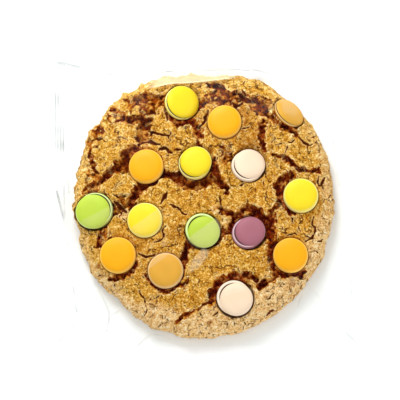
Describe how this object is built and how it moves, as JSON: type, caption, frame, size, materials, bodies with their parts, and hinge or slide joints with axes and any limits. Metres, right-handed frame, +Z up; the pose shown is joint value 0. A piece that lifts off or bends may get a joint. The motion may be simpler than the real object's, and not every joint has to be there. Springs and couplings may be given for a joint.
{
  "type": "candy cookie in a clear film bag",
  "caption": "Round cracked golden cookie with coloured sugar-coated chocolate buttons baked into its top, sealed flat in a clear film bag.",
  "frame": {"origin": "on the surface it lies on, under the middle of the whole bag", "axes": "+Z up out of the cracked side, +X to the right and +Y to the top of the cookie as the picture shows it"},
  "size_m": [0.1338, 0.1298, 0.0166],
  "materials": {
    "crust": "dry golden baked crust, grainy and cracked",
    "film": "thin clear glossy film",
    "shell_yellow": "satin sugar shell",
    "shell_orange": "satin sugar shell",
    "shell_tan": "satin sugar shell, browned by baking",
    "shell_cream": "satin sugar shell",
    "shell_green": "satin sugar shell",
    "shell_mauve": "satin sugar shell"
  },
  "bodies": {
    "root": {"cookie": "crust", "film_bag": "film", "button_01_yellow": "shell_yellow", "button_02_orange": "shell_orange", "button_03_tan": "shell_tan", "button_04_orange": "shell_orange", "button_05_yellow": "shell_yellow", "button_06_cream": "shell_cream", "button_07_yellow": "shell_yellow", "button_08_green": "shell_green", "button_09_yellow": "shell_yellow", "button_10_green": "shell_green", "button_11_mauve": "shell_mauve", "button_12_orange": "shell_orange", "button_13_orange": "shell_orange", "button_14_tan": "shell_tan", "button_15_cream": "shell_cream"}
  },
  "joints": []
}
